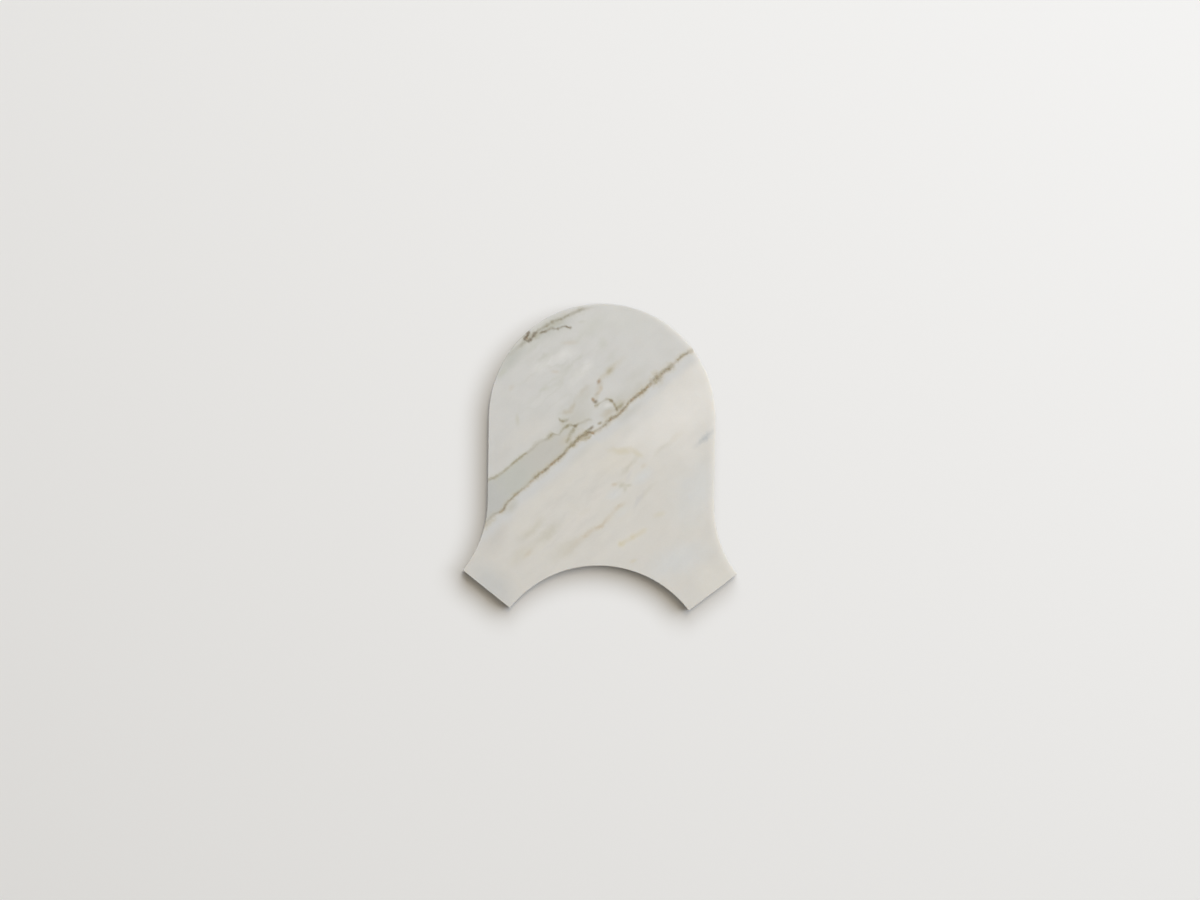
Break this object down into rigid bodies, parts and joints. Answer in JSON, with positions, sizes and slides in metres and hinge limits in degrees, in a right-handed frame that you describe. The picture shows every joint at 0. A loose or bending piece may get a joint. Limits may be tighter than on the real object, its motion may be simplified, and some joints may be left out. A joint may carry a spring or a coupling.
{
  "type": "marble scale tile",
  "caption": "Scale-shaped marble tile with a round crown, straight sides, flared wings and a hollow foot, bedded in rows that interlock on a wall or floor.",
  "frame": {"origin": "middle of the tile's footprint, on its sawn back face", "axes": "+X across the wings, +Y towards the round crown, +Z out of the honed face"},
  "size_m": [0.1018, 0.1132, 0.01],
  "materials": {
    "marble": "honed white marble with grey clouding and fine golden-brown veins, sawn back"
  },
  "bodies": {
    "root": {"marble_tile": "marble"}
  },
  "joints": []
}
